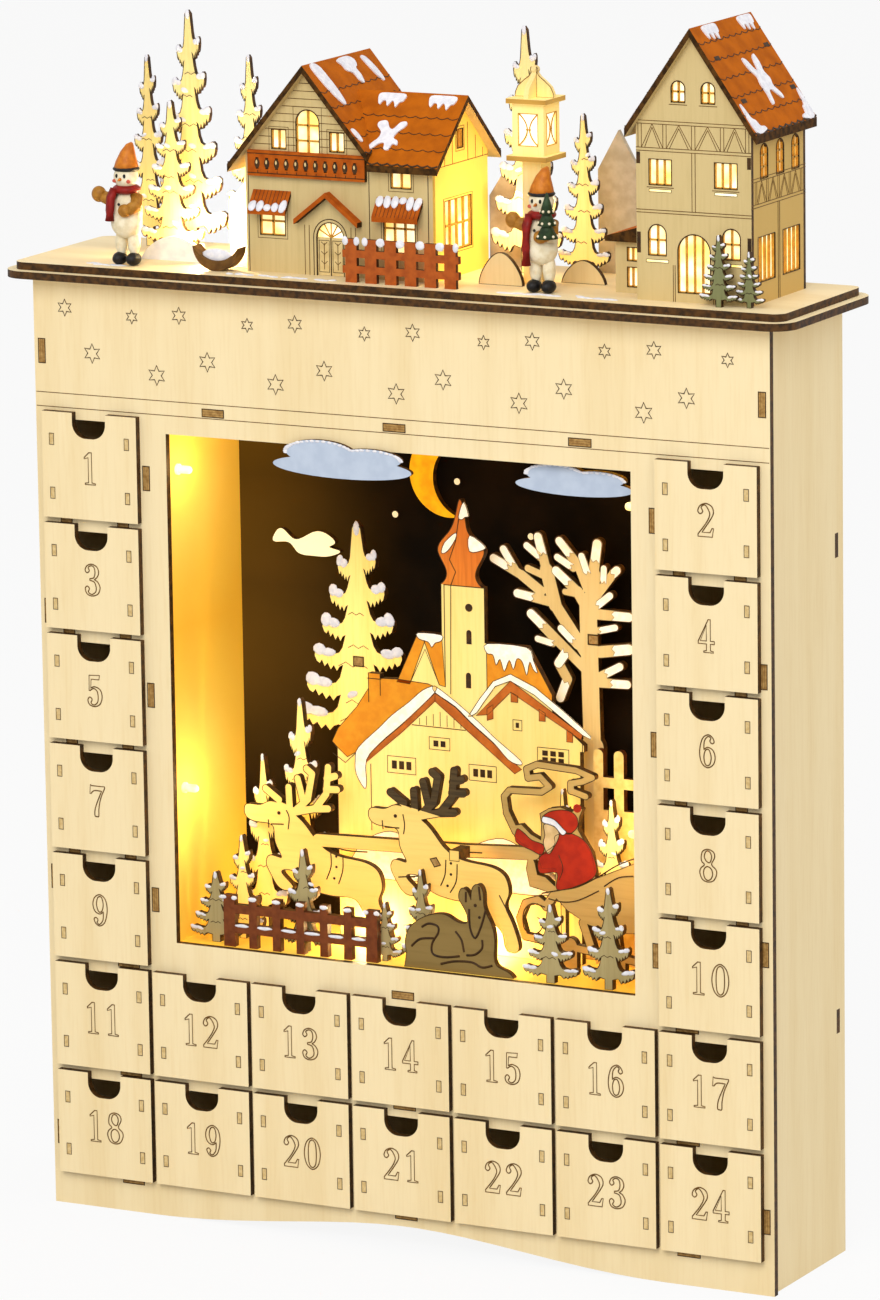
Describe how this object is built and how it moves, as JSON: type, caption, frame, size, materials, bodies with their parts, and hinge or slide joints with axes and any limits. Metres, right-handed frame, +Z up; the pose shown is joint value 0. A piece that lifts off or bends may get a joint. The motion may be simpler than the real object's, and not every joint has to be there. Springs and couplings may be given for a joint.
{
  "type": "wooden advent calendar",
  "caption": "Free-standing plywood advent calendar with numbered pull-out drawers round a lit winter scene, and a lit toy village on its deck.",
  "frame": {"origin": "on the floor under the middle of the deck", "axes": "+Z up, +Y to the back, +X to the right as seen from the front"},
  "size_m": [0.342, 0.081, 0.4878],
  "materials": {
    "birch_ply": "pale birch plywood, raw face, edges browned by cutting",
    "drawer_ply": "pale birch plywood with an engraved number",
    "deck_ply": "pale birch plywood with dark browned edges",
    "gold_lining": "plywood warmed by the lamps",
    "night_sky": "dark brown painted plywood",
    "sky_paint": "painted plywood cut-outs",
    "village_paint": "painted and engraved plywood",
    "figure_ply": "pale plywood with browned edges",
    "fir_wood": "green and tan painted plywood with white tips",
    "fence_paint": "red-brown painted plywood",
    "house_ply": "pale plywood with engraved lines",
    "roof_paint": "orange-brown painted plywood with browned edges",
    "figure_resin": "hand painted resin",
    "hill_ply": "white and grey painted plywood",
    "bulb_lens": "warm clear lamp lens",
    "wire_sleeve": "soft pale insulation",
    "case_plastic": "black moulded plastic",
    "switch_plastic": "black moulded plastic",
    "cell_jacket": "plain coloured jacket",
    "contact_steel": "plated spring steel",
    "screw_steel": "zinc plated steel"
  },
  "bodies": {
    "cabinet": {"front_panel": "birch_ply", "side_panels": "birch_ply", "back_panel": "birch_ply", "row_shelves": "birch_ply", "ceiling_board": "birch_ply", "column_dividers": "birch_ply", "column_shelves": "birch_ply", "row_partitions": "birch_ply", "lower_deck_board": "deck_ply", "upper_deck_board": "deck_ply", "chamber_lining": "gold_lining", "night_sky_backdrop": "night_sky", "sky_pieces": "sky_paint", "village_plate": "village_paint", "bare_tree": "figure_ply", "window_firs": "fir_wood", "sleigh_team": "figure_ply", "deer_figures": "figure_ply", "picket_fences": "fence_paint", "cottage_walls": "house_ply", "cottage_roof": "roof_paint", "cottage_trim": "roof_paint", "tall_house_walls": "house_ply", "tall_house_roof": "roof_paint", "lantern": "fence_paint", "deck_firs": "fir_wood", "snow_figures": "figure_resin", "deck_hills": "hill_ply", "led_bulbs": "bulb_lens", "wiring_harness": "wire_sleeve", "battery_case": "case_plastic", "battery_cells": "cell_jacket", "battery_contacts": "contact_steel", "case_screws": "screw_steel"},
    "battery_cover": {"battery_cover": "case_plastic"},
    "power_switch": {"power_switch": "switch_plastic"},
    "drawer_01": {"drawer_01": "drawer_ply"},
    "drawer_02": {"drawer_02": "drawer_ply"},
    "drawer_03": {"drawer_03": "drawer_ply"},
    "drawer_04": {"drawer_04": "drawer_ply"},
    "drawer_05": {"drawer_05": "drawer_ply"},
    "drawer_06": {"drawer_06": "drawer_ply"},
    "drawer_07": {"drawer_07": "drawer_ply"},
    "drawer_08": {"drawer_08": "drawer_ply"},
    "drawer_09": {"drawer_09": "drawer_ply"},
    "drawer_10": {"drawer_10": "drawer_ply"},
    "drawer_11": {"drawer_11": "drawer_ply"},
    "drawer_12": {"drawer_12": "drawer_ply"},
    "drawer_13": {"drawer_13": "drawer_ply"},
    "drawer_14": {"drawer_14": "drawer_ply"},
    "drawer_15": {"drawer_15": "drawer_ply"},
    "drawer_16": {"drawer_16": "drawer_ply"},
    "drawer_17": {"drawer_17": "drawer_ply"},
    "drawer_18": {"drawer_18": "drawer_ply"},
    "drawer_19": {"drawer_19": "drawer_ply"},
    "drawer_20": {"drawer_20": "drawer_ply"},
    "drawer_21": {"drawer_21": "drawer_ply"},
    "drawer_22": {"drawer_22": "drawer_ply"},
    "drawer_23": {"drawer_23": "drawer_ply"},
    "drawer_24": {"drawer_24": "drawer_ply"}
  },
  "joints": [
    {"name": "drawer_01_slide", "type": "slide", "parent": "cabinet", "child": "drawer_01", "axis": [0, -1, 0], "range_m": [0, 0.045]},
    {"name": "drawer_02_slide", "type": "slide", "parent": "cabinet", "child": "drawer_02", "axis": [0, -1, 0], "range_m": [0, 0.045]},
    {"name": "drawer_03_slide", "type": "slide", "parent": "cabinet", "child": "drawer_03", "axis": [0, -1, 0], "range_m": [0, 0.045]},
    {"name": "drawer_04_slide", "type": "slide", "parent": "cabinet", "child": "drawer_04", "axis": [0, -1, 0], "range_m": [0, 0.045]},
    {"name": "drawer_05_slide", "type": "slide", "parent": "cabinet", "child": "drawer_05", "axis": [0, -1, 0], "range_m": [0, 0.045]},
    {"name": "drawer_06_slide", "type": "slide", "parent": "cabinet", "child": "drawer_06", "axis": [0, -1, 0], "range_m": [0, 0.045]},
    {"name": "drawer_07_slide", "type": "slide", "parent": "cabinet", "child": "drawer_07", "axis": [0, -1, 0], "range_m": [0, 0.045]},
    {"name": "drawer_08_slide", "type": "slide", "parent": "cabinet", "child": "drawer_08", "axis": [0, -1, 0], "range_m": [0, 0.045]},
    {"name": "drawer_09_slide", "type": "slide", "parent": "cabinet", "child": "drawer_09", "axis": [0, -1, 0], "range_m": [0, 0.045]},
    {"name": "drawer_10_slide", "type": "slide", "parent": "cabinet", "child": "drawer_10", "axis": [0, -1, 0], "range_m": [0, 0.045]},
    {"name": "drawer_11_slide", "type": "slide", "parent": "cabinet", "child": "drawer_11", "axis": [0, -1, 0], "range_m": [0, 0.045]},
    {"name": "drawer_12_slide", "type": "slide", "parent": "cabinet", "child": "drawer_12", "axis": [0, -1, 0], "range_m": [0, 0.045]},
    {"name": "drawer_13_slide", "type": "slide", "parent": "cabinet", "child": "drawer_13", "axis": [0, -1, 0], "range_m": [0, 0.045]},
    {"name": "drawer_14_slide", "type": "slide", "parent": "cabinet", "child": "drawer_14", "axis": [0, -1, 0], "range_m": [0, 0.045]},
    {"name": "drawer_15_slide", "type": "slide", "parent": "cabinet", "child": "drawer_15", "axis": [0, -1, 0], "range_m": [0, 0.045]},
    {"name": "drawer_16_slide", "type": "slide", "parent": "cabinet", "child": "drawer_16", "axis": [0, -1, 0], "range_m": [0, 0.045]},
    {"name": "drawer_17_slide", "type": "slide", "parent": "cabinet", "child": "drawer_17", "axis": [0, -1, 0], "range_m": [0, 0.045]},
    {"name": "drawer_18_slide", "type": "slide", "parent": "cabinet", "child": "drawer_18", "axis": [0, -1, 0], "range_m": [0, 0.045]},
    {"name": "drawer_19_slide", "type": "slide", "parent": "cabinet", "child": "drawer_19", "axis": [0, -1, 0], "range_m": [0, 0.045]},
    {"name": "drawer_20_slide", "type": "slide", "parent": "cabinet", "child": "drawer_20", "axis": [0, -1, 0], "range_m": [0, 0.045]},
    {"name": "drawer_21_slide", "type": "slide", "parent": "cabinet", "child": "drawer_21", "axis": [0, -1, 0], "range_m": [0, 0.045]},
    {"name": "drawer_22_slide", "type": "slide", "parent": "cabinet", "child": "drawer_22", "axis": [0, -1, 0], "range_m": [0, 0.045]},
    {"name": "drawer_23_slide", "type": "slide", "parent": "cabinet", "child": "drawer_23", "axis": [0, -1, 0], "range_m": [0, 0.045]},
    {"name": "drawer_24_slide", "type": "slide", "parent": "cabinet", "child": "drawer_24", "axis": [0, -1, 0], "range_m": [0, 0.045]},
    {"name": "battery_cover_slide", "type": "slide", "parent": "cabinet", "child": "battery_cover", "axis": [1, 0, 0], "range_m": [0, 0.02]},
    {"name": "power_switch_slide", "type": "slide", "parent": "cabinet", "child": "power_switch", "axis": [0, 0, 1], "range_m": [0, 0.004]}
  ]
}
